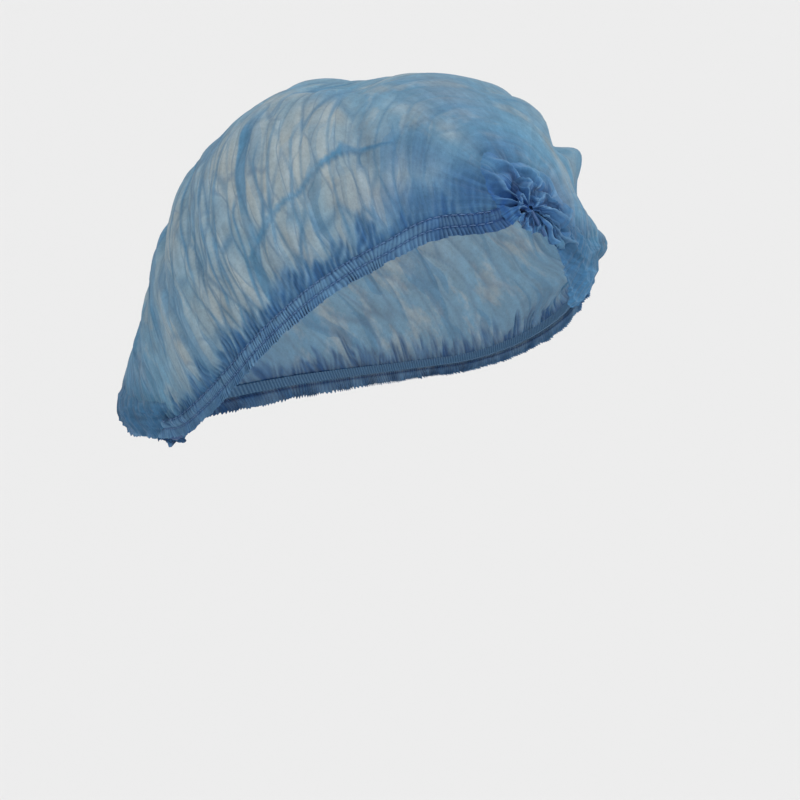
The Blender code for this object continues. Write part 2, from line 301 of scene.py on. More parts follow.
def cloth_points(along, around, lift):
    """Points of the cloth for a grid of places, lifted off it by a distance in millimetres."""
    ray = direction(along, around)
    reach = head_distance(ray) + stand_off(along, around) + lift
    return CAP_CENTRE + reach[..., None] * ray


def spread(count, first, last):
    """A column of evenly spaced places."""
    return np.linspace(first, last, count)[:, None]


def from_knots(along):
    """Degrees to the nearer knot."""
    return np.minimum(along, 180.0 - along)


def flat_map(along, around):
    """Millimetres along and around the cloth, with 0 on the line over the top."""
    return along * MM_ALONG, np.radians(around - TOP_OF_CAP) * ring_radius(along)


def above_hem(along, around):
    """Millimetres of cloth from each place down to the top of the nearer hem."""
    low, high = hem_angles(along)
    nearer = np.radians(np.minimum(around - low, high - around))
    return np.maximum(nearer * ring_radius(along) - HEM_WIDTH, 0.0)


print("ring over the ears, mm:", round(float(ring_radius(90.0))))

# %% [markdown]
# ## Puffs and long creases
#
# The cap is larger than the head, so the slack cloth stands out in puffs and falls in between them. Both
# are gentle hills and hollows on the map, with their height, place and spread in a table, as in the solids.
# A long crease is a narrow valley along a line between two places.

# %% Main form of the cloth
HILL_COLUMNS = ("along", "around", "spread_along", "spread_around", "height", "name")
PUFFS = (
    (40, 137, 16, 18, 5, "front dome"),
    (69, 96, 6, 13, 4, "back dome"),
    (53, 91, 10, 12, -8, "saddle between the domes"),
    (31, 150, 6, 5, -7, "notch before the upper wing"),
    (30, 157, 4, 9, 6.5, "upper wing"),
    (28, 172, 6, 7, -4.5, "hollow between the wings"),
    (42, 189, 10, 8, 10, "middle wing"),
    (63, 186, 11, 5, 9, "lower wing"),
    (53, 193, 8, 5, -8, "hollow under the middle wing"),
)
# The wearer's right side first, then a ridge over the ear, the left side and the top
CREASE_COLUMNS = ("along_a", "around_a", "along_b", "around_b", "depth")
CREASES = (
    (43, 82, 31, 47, 3.0), (31, 47, 41, 33, 3.0), (41, 33, 50, 22, 2.6), (60, 52, 53, 10, 3.0),
    (87, 62, 71, 22, 2.4), (104, 60, 88, 22, 2.4), (128, 70, 118, 15, 2.4), (74, 52, 63, 14, -1.8),
    (34, 118, 46, 160, 2.6), (66, 112, 72, 168, 2.8), (98, 116, 92, 165, 2.6), (124, 112, 120, 166, 2.4),
    (112, 78, 100, 112, 2.0),
)
CREASE_HALF_WIDTH = 5.0
FREE_RISE = 6.0


def hills(table, along, around):
    """Each hill of a table as its height at every place."""
    return [row["height"] * bell(along - row["along"], row["spread_along"])
            * bell(around - row["around"], row["spread_around"]) for row in named_rows(HILL_COLUMNS, table)]


def crease_distance(along, around, crease):
    """Distance in millimetres from each place on the cloth to a crease's line."""
    scale = np.radians(1.0) * ring_radius(along)
    run_x = (crease["along_b"] - crease["along_a"]) * MM_ALONG
    run_y = (crease["around_b"] - crease["around_a"]) * scale
    x = (along - crease["along_a"]) * MM_ALONG
    y = (around - crease["around_a"]) * scale
    t = np.clip((x * run_x + y * run_y) / (run_x**2 + run_y**2), 0.0, 1.0)
    return np.hypot(x - t * run_x, y - t * run_y)


def main_form(along, around, height):
    """Lift of the puffs and long creases, in millimetres. It dies out at the hems."""
    lift = sum(hills(PUFFS, along, around))
    for crease in named_rows(CREASE_COLUMNS, CREASES):
        lift = lift - crease["depth"] * bell(crease_distance(along, around, crease), CREASE_HALF_WIDTH)
    return lift * (1.0 - bell(height, FREE_RISE))


# %% [markdown]
# ## Irregular marks
#
# Cloth that was packed tight and pulled open keeps creases that follow no rule. Two kinds of noise give
# them. Soft noise is a rolling surface through random heights. Cell borders split the cloth into irregular
# patches, and the distance to the nearest border makes each patch a small pillow with sharp valleys round
# it, which is how crumpled sheet looks. Both use fixed seeds, so the cap is the same each time.

# %% Noise on the map
NOISE_TABLE = 64


def noise(x, y, seed):
    """Smooth noise from -1 to 1, with one random height for each unit square."""
    heights = np.random.default_rng(seed).uniform(-1.0, 1.0, (NOISE_TABLE, NOISE_TABLE))
    i, s = np.divmod(x, 1.0)
    j, t = np.divmod(y, 1.0)
    s = step_up(s, 0.0, 1.0)
    t = step_up(t, 0.0, 1.0)
    here, right_of = (np.array([i, i + 1.0]) % NOISE_TABLE).astype(int)
    row, above = (np.array([j, j + 1.0]) % NOISE_TABLE).astype(int)
    low = heights[here, row] * (1.0 - s) + heights[right_of, row] * s
    high = heights[here, above] * (1.0 - s) + heights[right_of, above] * s
    return low * (1.0 - t) + high * t


def cell_border(x, y, seed):
    """Distance to the nearest border between irregular cells of about one unit."""
    jitter = np.random.default_rng(seed).random((2, NOISE_TABLE, NOISE_TABLE))
    i0 = np.floor(x).astype(int)
    j0 = np.floor(y).astype(int)
    nearest = np.full(np.shape(x), 9.0)
    second = np.full(np.shape(x), 9.0)
    for di in (-1, 0, 1):
        for dj in (-1, 0, 1):
            i = (i0 + di) % NOISE_TABLE
            j = (j0 + dj) % NOISE_TABLE
            away = np.hypot(x - i0 - di - jitter[0, i, j], y - j0 - dj - jitter[1, i, j])
            second = np.minimum(second, np.maximum(nearest, away))
            nearest = np.minimum(nearest, away)
    return 0.5 * (second - nearest)


def bell(away, spread):
    """1 where away is 0, falling smoothly to nothing on both sides."""
    return np.exp(-(away / spread) ** 2)


def step_up(value, low, high):
    """0 below low, 1 above high, and a smooth rise between them."""
    t = np.clip((value - low) / (high - low), 0.0, 1.0)
    return t * t * (3.0 - 2.0 * t)


# %% [markdown]
# ## Sheet maker
#
# Each piece of cloth is a grid of points with marks painted on it. A mark is a number from 0 to 1 that the
# fabric's shader reads: how far the cloth is stretched thin, laid double, gathered or fanned out from a
# knot, how much painted shade darkens a crease, where the cloth in part lies double too, and how much
# painted highlight lightens the top of a fold. The nonwoven is only a fifth of a millimetre thick, so a
# single surface seen from both sides stands for it.

# %% Make a sheet from a grid
MARKS = ("thin", "double", "gathered", "crease", "ridge_and_highlight", "fanned")


def make_sheet(name, points, marks, material, flat, fan=(0.0, 0.0)):
    """An object from a grid of points in millimetres, with its marks and its flat and fan maps."""
    shape = points.shape[:2]
    corner = np.arange(shape[0] * shape[1]).reshape(shape)
    faces = np.stack([corner[:-1, :-1], corner[1:, :-1], corner[1:, 1:], corner[:-1, 1:]], axis=-1)
    mesh = bpy.data.meshes.new(name)
    mesh.from_pydata((points.reshape(-1, 3) * MM).tolist(), [], faces.reshape(-1, 4).tolist())
    mesh.update()
    middle = Vector(CAP_CENTRE * MM)
    if sum(face.normal.dot(face.center - middle) for face in mesh.polygons) < 0.0:
        mesh.flip_normals()
    mesh.shade_smooth()
    for mark in MARKS:
        values = np.clip(np.broadcast_to(marks.get(mark, 0.0), shape), 0.0, 1.0)
        layer = mesh.attributes.new(mark, "FLOAT", "POINT")
        layer.data.foreach_set("value", values.astype(np.float32).ravel())
    for place, (x, y) in (("flat_place", flat), ("fan_place", fan)):
        values = np.stack([np.broadcast_to(x, shape), np.broadcast_to(y, shape), np.zeros(shape)], axis=-1)
        layer = mesh.attributes.new(place, "FLOAT_VECTOR", "POINT")
        layer.data.foreach_set("vector", values.astype(np.float32).ravel())
    mesh.materials.append(material)
    piece = put_in_scene(name, mesh)
    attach(piece, "root")
    return piece


# %% [markdown]
# ## Spunbonded polypropylene
#
# The cap is spunbonded polypropylene of about 12 grams per square metre: endless fibres laid at random and
# welded together at small points by a heated, embossed roller. Four things give it its look. It is dyed
# blue but so thin that one layer is pale and lets light through, while gathers add layers and turn deep
# blue. The fibres lie in clouds, a little denser here and thinner there. The weld points are a fine grid.
# And it has no weave, so it creases like paper. It is shaded as a matt dielectric (polypropylene has an
# index of refraction of 1.49) mixed with a translucent layer, and the rest of the light goes straight on.

# %% Nonwoven cloth
POLYPROPYLENE_IOR = 1.49
CLOTH_ROUGHNESS = 0.72
FIBRE_WIDTH = 0.4        # real fibres are 0.02 mm, drawn as coarse as the picture can show
FIBRE_CLOUD = 5.0
WELD_POINT_PITCH = 2.4   # real rollers have 1.5 to 2 mm, drawn a little coarser to show
# Patterns that lie flat on the cloth, each with the width and length of one cell in millimetres
PATTERN_COLUMNS = ("name", "place", "width", "length", "Detail", "Roughness", "Distortion")
PATTERNS = (
    ("streaks", "flat_place", 1.2, 12.0, 2.0, 0.5, 0.0),
    ("rays", "fan_place", 2.2, 18.0, 2.5, 0.5, 0.4),
    ("bands", "flat_place", 5.5, 26.0, 1.5, 0.5, 0.0),
    ("blotches", "flat_place", 13.0, 26.0, 4.0, 0.6, 0.0),
    ("wander", "flat_place", 17.0, 24.0, 1.5, 0.5, 0.0),
)
CREASE_CELL = (1.0 / 8.0, 1.0 / 36.0, 0.0)
DOUBLED_CELL = (1.0 / 5.5, 1.0 / 42.0, 0.0)
WANDER_REACH = (11.0, 16.0, 0.0)


def nonwoven(name, colours, crumple, clear_single, clear_layered, let_through):
    """Spunbonded cloth whose colour and clearness follow the marks on the mesh."""
    material, add = new_material(name)
    mark = {m: add("Attribute", result="Fac", attribute_name=m) for m in MARKS}
    place = {m: add("Attribute", result="Vector", attribute_name=m) for m in ("flat_place", "fan_place")}
    space = add("TexCoord", result="Object")
    spread_out = add("Math", (1.0, mark["fanned"]), operation="SUBTRACT")
    clouds = add("TexNoise", {"Vector": space, "Scale": 1.0 / (FIBRE_CLOUD * MM), "Detail": 4.0,
                              "Roughness": 0.6})
    fibres = add("TexNoise", {"Vector": space, "Scale": 0.5 / (FIBRE_WIDTH * MM), "Detail": 2.0,
                              "Distortion": 1.5})
    pattern = {}
    for row in named_rows(PATTERN_COLUMNS, PATTERNS):
        cell = (1.0 / row["width"], 1.0 / row["length"], 0.0)
        spot = add("VectorMath", (place[row["place"]], cell), operation="MULTIPLY")
        look = {socket: row[socket] for socket in ("Detail", "Roughness", "Distortion")}
        pattern[row["name"]] = add("TexNoise", {"Vector": spot, "Scale": 1.0} | look, noise_dimensions="2D")
    dots = add("TexVoronoi", {"Vector": place["flat_place"], "Scale": 1.0 / WELD_POINT_PITCH,
                              "Randomness": 0.12}, voronoi_dimensions="2D")
    dots = add("MapRange", (dots, 0.18, 0.3, 1.0, 0.0))

    # Long narrow cells with wandering borders stand for the finest creases. Along their borders the crease
    # colour is painted shade, in part cloth lying double
    wander = pattern["wander"].node.outputs["Color"]
    wander = add("VectorMath", (wander, (0.5, 0.5, 0.5)), operation="SUBTRACT")
    moved = add("VectorMath", (wander, WANDER_REACH, place["flat_place"]), operation="MULTIPLY_ADD")
    cells = add("VectorMath", (moved, CREASE_CELL), operation="MULTIPLY")
    border = add("TexVoronoi", {"Vector": cells, "Scale": 1.0}, voronoi_dimensions="2D",
                 feature="DISTANCE_TO_EDGE")
    line = add("MapRange", (border, 0.01, 0.06, 1.0, 0.0), interpolation_type="SMOOTHSTEP")
    for shown in (add("MapRange", (clouds, 0.4, 0.6, 0.35, 1.0)),
                  add("MapRange", (mark["thin"], 0.2, 0.8, 0.15, 1.0)), spread_out, 0.45 * crumple):
        line = add("Math", (line, shown), operation="MULTIPLY")
    patch = add("TexVoronoi", {"Vector": cells, "Scale": 1.0}, "Color", voronoi_dimensions="2D")
    patch = add("SeparateColor", (patch,)).node.outputs

    # Bands of cloth laid double, and blotches where one layer is stretched thin
    bands = add("VectorMath", (moved, DOUBLED_CELL), operation="MULTIPLY")
    bands = add("TexVoronoi", {"Vector": bands, "Scale": 1.0}, "Color", voronoi_dimensions="2D")
    doubled = add("MapRange", (add("SeparateColor", (bands,)), 0.66, 0.74, 0.0, 0.45 * crumple))
    for shown in (spread_out, add("MapRange", (mark["thin"], 0.5, 1.0, 1.0, 0.35))):
        doubled = add("Math", (doubled, shown), operation="MULTIPLY")
    doubled = add("Math", (doubled, mark["double"]), operation="MAXIMUM")
    most = add("MapRange", (mark["gathered"], 0.0, 1.0, 0.65 * crumple, 0.0))
    stretched = add("MapRange", (pattern["blotches"], 0.46, 0.7, 0.0, most), interpolation_type="SMOOTHSTEP")
    thin = add("MapRange", (patch[1], 0.0, 1.0, 0.75, 1.1))
    thin = add("Math", (mark["thin"], thin), operation="MULTIPLY")
    thin = add("Math", (thin, stretched), operation="MAXIMUM")

    colour = linear(colours["plain"])
    # The crease tint adds painted shade, and the ridge tint adds a painted highlight
    layers = [("thin", thin), ("double", doubled), ("crease", line)]
    layers += [(tint, mark[tint]) for tint in ("gathered", "ridge_and_highlight", "crease")]
    for tint, amount in layers:
        colour = add("Mix", {"Factor": amount, "A": colour, "B": linear(colours[tint])}, "Result",
                     data_type="RGBA")

    # The tone is a product of shares about 1, and then a few patterns move it up and down
    tone = add("MapRange", (clouds, 0.3, 0.7, 0.88, 1.12))
    for share in (add("MapRange", (fibres, 0.3, 0.7, 0.92, 1.08)),
                  add("MapRange", (patch[0], 0.0, 1.0, 0.95, 1.05))):
        tone = add("Math", (tone, share), operation="MULTIPLY")
    streaks = add("MapRange", (pattern["streaks"], 0.3, 0.7, -0.2, 0.2))
    bands = add("MapRange", (pattern["bands"], 0.3, 0.7, -0.1 * crumple, 0.1 * crumple))
    rays = add("MapRange", (pattern["rays"], 0.3, 0.7, -0.14, 0.14))
    long_tone = add("Math", (streaks, mark["gathered"], bands), operation="MULTIPLY_ADD")
    long_tone = add("Math", (long_tone, spread_out), operation="MULTIPLY")
    ray_tone = add("Math", (rays, mark["fanned"]), operation="MULTIPLY")
    for share in (long_tone, ray_tone):
        tone = add("Math", (tone, share, tone), operation="MULTIPLY_ADD")
    tone = add("Math", (dots, -0.05, tone), operation="MULTIPLY_ADD")
    shade = add("VectorMath", {0: colour, "Scale": tone}, operation="SCALE")

    # The height of the surface is a sum of patterns, each by its own share
    pillow = add("MapRange", (border, 0.0, 0.22, 0.0, 4.0 * crumple), interpolation_type="SMOOTHSTEP")
    height = add("Math", (pillow, spread_out, fibres), operation="MULTIPLY_ADD")
    ray_share = add("Math", (mark["fanned"], 3.0), operation="MULTIPLY")
    streak_share = add("Math", (mark["gathered"], 2.0), operation="MULTIPLY")
    for part, share in ((pattern["rays"], ray_share), (pattern["bands"], 4.0 * crumple), (clouds, 0.6),
                        (dots, -0.4), (pattern["streaks"], streak_share)):
        height = add("Math", (part, share, height), operation="MULTIPLY_ADD")
    bump = add("Bump", {"Strength": 0.5, "Distance": 0.12 * MM, "Height": height})

    front = add("BsdfPrincipled", {
        "Base Color": shade, "Roughness": CLOTH_ROUGHNESS, "IOR": POLYPROPYLENE_IOR,
        "Specular IOR Level": 0.25, "Sheen Weight": 0.12, "Sheen Roughness": 0.5, "Normal": bump})
    glow = add("BsdfTranslucent", {"Color": shade, "Normal": bump})
    cloth = add("MixShader", (let_through, front, glow))
    layered = add("Math", (doubled, mark["gathered"]), operation="MAXIMUM")
    clear = add("MapRange", (layered, 0.0, 1.0, clear_single, clear_layered))
    add("OutputMaterial", {"Surface": add("MixShader", (clear, cloth, add("BsdfTransparent")))})
    return material


# The ridge colours are painted highlights on fold tops. The crease colours are painted shade in creases and
# fold valleys, in part cloth lying double. The rest are the cloth's own colours
CAP_COLOURS = {"plain": "6297b5", "thin": "a9b3b4", "double": "4a83aa", "gathered": "2b588a",
               "ridge_and_highlight": "76a1c6", "crease": "42698a"}
GATHERED_COLOURS = dict(CAP_COLOURS, plain="6690b0", gathered="3c6691", crease="1f4272")
BUNCHED_COLOURS = dict(CAP_COLOURS, gathered="174e96", crease="0e2a56", ridge_and_highlight="7fb0d8")
cap_cloth = nonwoven("spunbonded cap cloth", CAP_COLOURS, 1.0, 0.09, 0.02, 0.32)
gathered_cloth = nonwoven("gathered cap cloth", GATHERED_COLOURS, 0.0, 0.04, 0.0, 0.15)
bunched_cloth = nonwoven("bunched cap cloth", BUNCHED_COLOURS, 0.0, 0.02, 0.0, 0.2)
print("nodes of the cap cloth:", len(cap_cloth.node_tree.nodes))

# %% [markdown]
# ## The crown
#
# The crown is the sheet between the two hems. On top of the main form come the marks of its making. The
# elastic draws the lower edge into gathers, ragged dark blocks that rise from the hem and fade out. Folds
# fan out of each knot. Pleats that were pressed in the strip lie open as long bands with one sharp edge,
# where the cloth is double. Between them the sheet is crumpled into long narrow patches that run over the
# head.

# %% Pleats pressed into the cloth
# Width is that of the doubled band in millimetres, strength says how clearly it shows, and route holds the
# places along and around of its sharp edge. The wearer's right side comes first, then the left.
PLEAT_COLUMNS = ("width", "strength", "route")
PLEATS = (
    (6.4, 1.0, ((59, 60), (57, 47), (55, 37), (54, 28), (52, 19), (52, 13), (50, 2))),
    (1.4, 0.6, ((53, 60), (50, 44), (48, 32), (47, 20))),
    (1.5, 0.6, ((46, 50), (44, 38), (43, 28), (41, 18), (41, 12))),
    (1.2, 0.5, ((54, 44), (52, 37), (50, 30), (50, 22))),
    (2.6, 0.8, ((26, 53), (33, 49), (38, 41), (42, 33), (47, 27), (54, 17))),
    (2.6, 0.7, ((90, 72), (87, 62), (82, 45), (76, 29), (73, 18))),
    (1.6, 0.6, ((86, 70), (84, 61), (78, 44), (71, 26), (69, 14))),
    (2.8, 0.7, ((74, 66), (71, 52), (69, 38), (66, 24), (63, 10))),
    (1.5, 0.6, ((67, 60), (65, 48), (64, 36), (63, 23), (62, 12))),
    (1.4, 0.7, ((63, 30), (63, 21), (61, 13), (60, 6), (60, 0))),
    (1.6, 0.7, ((58, 30), (56, 20), (55, 12), (54, 4))),
    (1.8, 0.6, ((86, 50), (85, 36), (83, 26), (82, 14))),
    (1.2, 0.4, ((35, 36), (34, 28), (33, 22), (32, 15))),
    (2.4, 0.6, ((112, 50), (106, 32), (100, 14), (98, 4))),
    (2.2, 0.6, ((134, 50), (127, 30), (120, 12), (116, 0))),
    (2.6, 0.6, ((28, 118), (31, 132), (36, 148), (40, 164))),
    (3.0, 0.8, ((52, 108), (54, 124), (58, 142), (62, 160), (64, 176))),
    (2.0, 0.6, ((70, 112), (72, 130), (76, 150), (78, 170))),
    (3.0, 0.8, ((90, 106), (91, 126), (94, 148), (96, 172))),
    (1.8, 0.6, ((108, 112), (108, 134), (110, 154), (110, 176))),
    (2.4, 0.6, ((130, 112), (128, 134), (126, 156), (122, 178))),
)
PLEAT_STEP = 0.75
PLEAT_FADE = 9.0
PLEAT_EDGE = 0.45


def pressed_pleats(along, around):
    """Lift, doubled cloth and sharp edge of the pressed pleats."""
    lift, double, edge = np.zeros((3,) + np.broadcast(along, around).shape)
    y = flat_map(along, around)[1]
    degree = np.radians(1.0) * ring_radius(along)
    for number, pleat in enumerate(named_rows(PLEAT_COLUMNS, PLEATS)):
        alongs, arounds = zip(*sorted(pleat["route"], key=lambda spot: spot[1]))
        centre = np.interp(around, arounds, alongs)
        lean = (np.interp(around + 1.0, arounds, alongs) - centre) * MM_ALONG
        off = (along - centre) * MM_ALONG * degree / np.hypot(lean, degree)
        off = off + 0.5 * noise(y / 16.0, number, 31)
        shown = step_up(around, arounds[0] - PLEAT_FADE, arounds[0] + 2.0)
        shown = shown * (1.0 - step_up(around, arounds[-1] - 2.0, arounds[-1] + PLEAT_FADE))
        shown = shown * pleat["strength"] * (0.8 + 0.3 * noise(y / 12.0, number, 33))
        band = pleat["width"] * (0.75 + 0.35 * noise(y / 22.0, number, 32))
        inside = step_up(off, -0.35, 0.25) * (1.0 - step_up(off, band - 0.6, band + 0.4))
        lift += PLEAT_STEP * step_up(off, -0.5, 0.3) * np.clip(1.0 - off / band, 0.0, 1.0) * shown
        double = np.maximum(double, inside * shown)
        edge = np.maximum(edge, bell(off, PLEAT_EDGE) * shown)
    return lift, double, edge


# %% Gathers above the hems
GATHERS = 64
GATHER_HEIGHT = 1.7
GATHER_RISE_LEAST = 3.0
GATHER_RISE_MOST = 15.0
FINE_GATHER_PITCH = 2.7


def hem_gathers(along, around, height, share):
    """Lift of the gathers, how far each place lies inside a dark block, and the fine ripple on them."""
    block = np.zeros(height.shape)
    x, y = flat_map(along, around)
    ragged = height + 2.4 * noise(x / 1.7, y / 9.0, 43)
    for side, on_side in enumerate((around < TOP_OF_CAP, around >= TOP_OF_CAP)):
        random = np.random.default_rng(60 + side)
        count = GATHERS + 2
        middles = (np.arange(count) - 0.5 + random.uniform(-0.4, 0.4, count)) / GATHERS
        rises = GATHER_RISE_LEAST + (GATHER_RISE_MOST - GATHER_RISE_LEAST) * random.random(count) ** 1.3
        halves = random.uniform(0.4, 0.95, count) / GATHERS
        leans = random.uniform(-0.4, 0.2, count) / GATHERS
        for middle, rise, half, lean in zip(middles, rises, halves, leans):
            off = (share - middle - lean * height / rise) / half
            top = rise * (1.0 + 0.35 * off)
            here = (1.0 - step_up(np.abs(off), 0.55, 1.0)) * (1.0 - step_up(ragged / top, 0.6, 1.1))
            block = np.maximum(block, np.where(on_side, here, 0.0))
    turn = x / FINE_GATHER_PITCH + 1.4 * noise(x / 8.0, y / 10.0, 41)
    ripple = np.sin(2.0 * math.pi * turn) * (0.75 + 0.45 * noise(x / 3.0, y / 8.0, 42))
    lift = GATHER_HEIGHT * (1.0 - 0.8 * block) * np.exp(-height / 13.0)
    return lift + 0.55 * ripple * np.maximum(block, np.exp(-height / 7.0)), block, ripple


# %% Folds at the knots and patches between the creases
KNOT_FOLDS = 6
KNOT_FOLD_HEIGHT = 2.2
KNOT_FOLD_REACH = 13.0
KNOT_FOLD_START = 8.0
FINE_KNOT_FOLDS = 22
FINE_FOLD_HEIGHT = 0.8
PATCH_LENGTH = 36.0
PATCH_WIDTH = 9.5
SMALL_PATCH_LENGTH = 22.0
SMALL_PATCH_WIDTH = 4.6
VALLEY_WIDTH = 1.5
SMALL_VALLEY_WIDTH = 0.7
VALLEY_LINE = 0.5
SLANT = 0.3
BACK_FOLD = 1.6


def slanted_map(along, around):
    """The flat map with its lines over the head leaning towards the front at both hems, as creases do."""
    x, y = flat_map(along, around)
    return x + SLANT * np.sqrt(y**2 + 100.0), y


def knot_folds(along, around):
    """Lift of the broad and fine folds that spread from the knots."""
    away = from_knots(along)
    near = bell(away, KNOT_FOLD_REACH)
    broad = KNOT_FOLD_HEIGHT * (0.5 + 0.5 * np.cos(2.0 * KNOT_FOLDS * np.radians(around))) * near
    turn = FINE_KNOT_FOLDS * np.radians(around) + 1.6 * noise(around / 11.0, away / 9.0, 51)
    fine = FINE_FOLD_HEIGHT * np.abs(np.sin(turn)) * near * np.minimum(away / 3.0, 1.0)
    fine = fine * (0.6 + 0.6 * noise(around / 17.0, away / 12.0, 52))
    return broad * np.minimum(away / KNOT_FOLD_START, 1.0) + fine


def crumpled_patches(along, around):
    """Lift of the crumpled patches, and how near each place is to a border between two of them."""
    x, y = slanted_map(along, around)
    moved_x = x + 3.5 * noise(x / 26.0, y / 34.0, 11)
    moved_y = y + 8.0 * noise(x / 18.0, y / 40.0, 12)
    patch = cell_border(moved_x / PATCH_WIDTH, moved_y / PATCH_LENGTH, 13) * PATCH_WIDTH
    small_x = moved_x / SMALL_PATCH_WIDTH + 0.1 * patch
    small = cell_border(small_x, moved_y / SMALL_PATCH_LENGTH, 14) * SMALL_PATCH_WIDTH
    strength = 0.7 + 0.4 * noise(x / 30.0, y / 30.0, 15)
    pillows = 1.0 - bell(patch, VALLEY_WIDTH) + 0.25 * (1.0 - bell(small, SMALL_VALLEY_WIDTH))
    lift = (pillows + 0.9 * noise(x / 13.0, y / 30.0, 16)) * strength
    lift = lift + BACK_FOLD * noise(x / 15.0, y / 60.0, 18) * step_up(along, 64.0, 84.0)
    return lift, bell(patch, VALLEY_LINE) * strength


# %% Crown
CROWN_ALONG = 612
CROWN_AROUND = 160
CROWN_CLOSER_AT_HEMS = 0.06
CROWN_TUCK = 2.2
CROWN_TUCK_DEPTH = 0.5
FANNED_REACH = 19.0
STATION_SPAN = LAST_STATION - FIRST_STATION
FAN_MM_PER_DEGREE = 0.5
# These have the columns of the puffs, and their height is a strength: where one stretched layer shows pale,
# where several layers lie bunched and dark, where the cloth lies smooth, and where the wings are doubled
PALE_SPOTS = (
    (52, 40, 30, 30, 1.0), (30, 28, 14, 18, 1.0), (22, 42, 8, 16, 0.7), (80, 34, 22, 26, 0.8),
    (43, 61, 10, 11, 1.0), (30, 98, 8, 14, 0.45), (46, 14, 22, 16, 1.0), (66, 8, 18, 18, 1.0),
    (88, 6, 16, 18, 0.8), (28, 76, 6, 9, 0.7), (19, 78, 5, 9, 0.6), (36, 104, 7, 9, 0.5),
    (58, 74, 12, 12, 0.7), (108, 30, 14, 22, 0.3), (60, 130, 22, 26, 0.8), (96, 134, 20, 26, 0.8),
    (104, 84, 14, 20, 0.6), (78, 100, 14, 16, 0.6), (34, 140, 10, 16, 0.6),
)
DARK_SPOTS = (
    (10, 34, 8, 40, 1.0), (18, 22, 9, 16, 0.8), (20, 52, 10, 18, 0.5), (24, 96, 14, 24, 0.35),
    (12, 100, 7, 34, 0.7), (11, 170, 6, 40, 0.5), (16, 200, 8, 14, 0.6), (150, 60, 16, 60, 0.35),
    (160, 130, 14, 60, 0.5), (130, 8, 20, 26, 0.35),
)
SMOOTH_DOME = ((30, 108, 17, 44, 1.0),)
DOUBLED_WINGS = ((38, 178, 22, 24, 0.35),)


def crown_cloth(along, around):
    """Lift and marks of the crown at a grid of places."""
    height = above_hem(along, around)
    x, y = slanted_map(along, around)
    free = 1.0 - bell(height, 5.0)
    gather_lift, block, ripple = hem_gathers(along, around, height, (along - FIRST_STATION) / STATION_SPAN)
    pleat_lift, double, pleat_edge = pressed_pleats(along, around)
    crumple_lift, border = crumpled_patches(along, around)
    smooth = hills(SMOOTH_DOME, along, around)[0]
    fanned = np.maximum(np.exp(-(from_knots(along) / FANNED_REACH) ** 3), 0.85 * smooth)
    lift = main_form(along, around, height) + knot_folds(along, around)
    lift += gather_lift * np.sqrt(np.sin(np.radians(along)))
    lift += (pleat_lift + crumple_lift * (1.0 - 0.8 * np.maximum(fanned, 0.8 * smooth))) * free

    # The fine gathers show near the hems alone where the cloth is fanned out from a knot
    on_hem_lines = 1.0 - fanned * step_up(height, 10.0, 22.0) * step_up(fanned, 0.1, 0.5)
    ripple = ripple * on_hem_lines
    dark = hills(DARK_SPOTS, along, around)
    # shade is painted shade in the troughs of the fine gathers, over a random tone, and it scales the
    # gathered colour
    shade = 0.85 + 0.3 * noise(x / 3.2, y / 14.0, 44) * on_hem_lines - 0.22 * ripple
    calm = 1.0 - 0.5 * step_up(around, 160.0, 172.0) * (1.0 - step_up(along, 45.0, 60.0))
    gathered = np.maximum(0.85 * bell(height, 4.5), 0.88 * block * (1.0 - 0.02 * height)) * shade
    gathered = np.maximum(gathered, 0.12 * bell(height, 14.0)) * calm
    gathered = np.maximum(gathered, np.max(dark, axis=0) * (0.9 - 0.08 * ripple))
    pale = np.max(hills(PALE_SPOTS, along, around), axis=0)
    pale = pale * (1.05 + 0.35 * noise(x / 7.0, y / 20.0, 17)) * (1.0 - 0.5 * border)
    pale = pale * (1.0 - double) * (1.0 - np.clip(gathered, 0.0, 1.0))
    pleated = np.max([block, bell(height, 7.0), 0.8 * dark[0], 0.8 * dark[1]], axis=0) * on_hem_lines
    # The crease mark is painted shade along the borders of the crumpled patches, in the gather troughs and
    # at the sharp pleat edges, where the cloth also lies double
    crease = np.maximum(0.5 * border * free, 0.7 * pleat_edge) * (1.0 - np.maximum(fanned, smooth))
    crease = np.maximum(crease, 0.4 * step_up(-ripple, 0.35, 0.9) * pleated)
    # A painted highlight lies on the crests of the fine gathers
    ridge_and_highlight = 0.24 * step_up(ripple, 0.45, 0.95) * pleated * (1.0 - fanned)
    double = np.maximum(0.8 * double, hills(DOUBLED_WINGS, along, around)[0])
    return lift, {"thin": pale, "double": double, "gathered": gathered, "crease": crease, "ridge_and_highlight": ridge_and_highlight,
                  "fanned": fanned}


def hem_angle(side, width, along):
    """Angle around of a line on a hem, a width in millimetres up from its lower edge."""
    low, high = hem_angles(along)
    if side == "right":
        return low + np.degrees(width / ring_radius(along, low))
    return high - np.degrees(width / ring_radius(along, high))


along = spread(CROWN_ALONG, FIRST_STATION, LAST_STATION)
low = hem_angle("right", HEM_WIDTH - CROWN_TUCK, along)
high = hem_angle("left", HEM_WIDTH - CROWN_TUCK, along)
share = np.linspace(0.0, 1.0, CROWN_AROUND)[None, :]
around = low + (high - low) * (share - CROWN_CLOSER_AT_HEMS * np.sin(2.0 * math.pi * share))
lift, marks = crown_cloth(along, around)
from_edge = np.radians(np.minimum(around - low, high - around)) * ring_radius(along)
lift -= CROWN_TUCK_DEPTH * (1.0 - step_up(from_edge, 0.5 * CROWN_TUCK, 1.3 * CROWN_TUCK))
fan_place = (around * FAN_MM_PER_DEGREE, from_knots(along) * MM_ALONG)
crown = make_sheet("crown_cloth", cloth_points(along, around, lift), marks, cap_cloth,
                   slanted_map(along, around), fan_place)
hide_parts("crown")
print("crown faces:", len(crown.data.polygons))

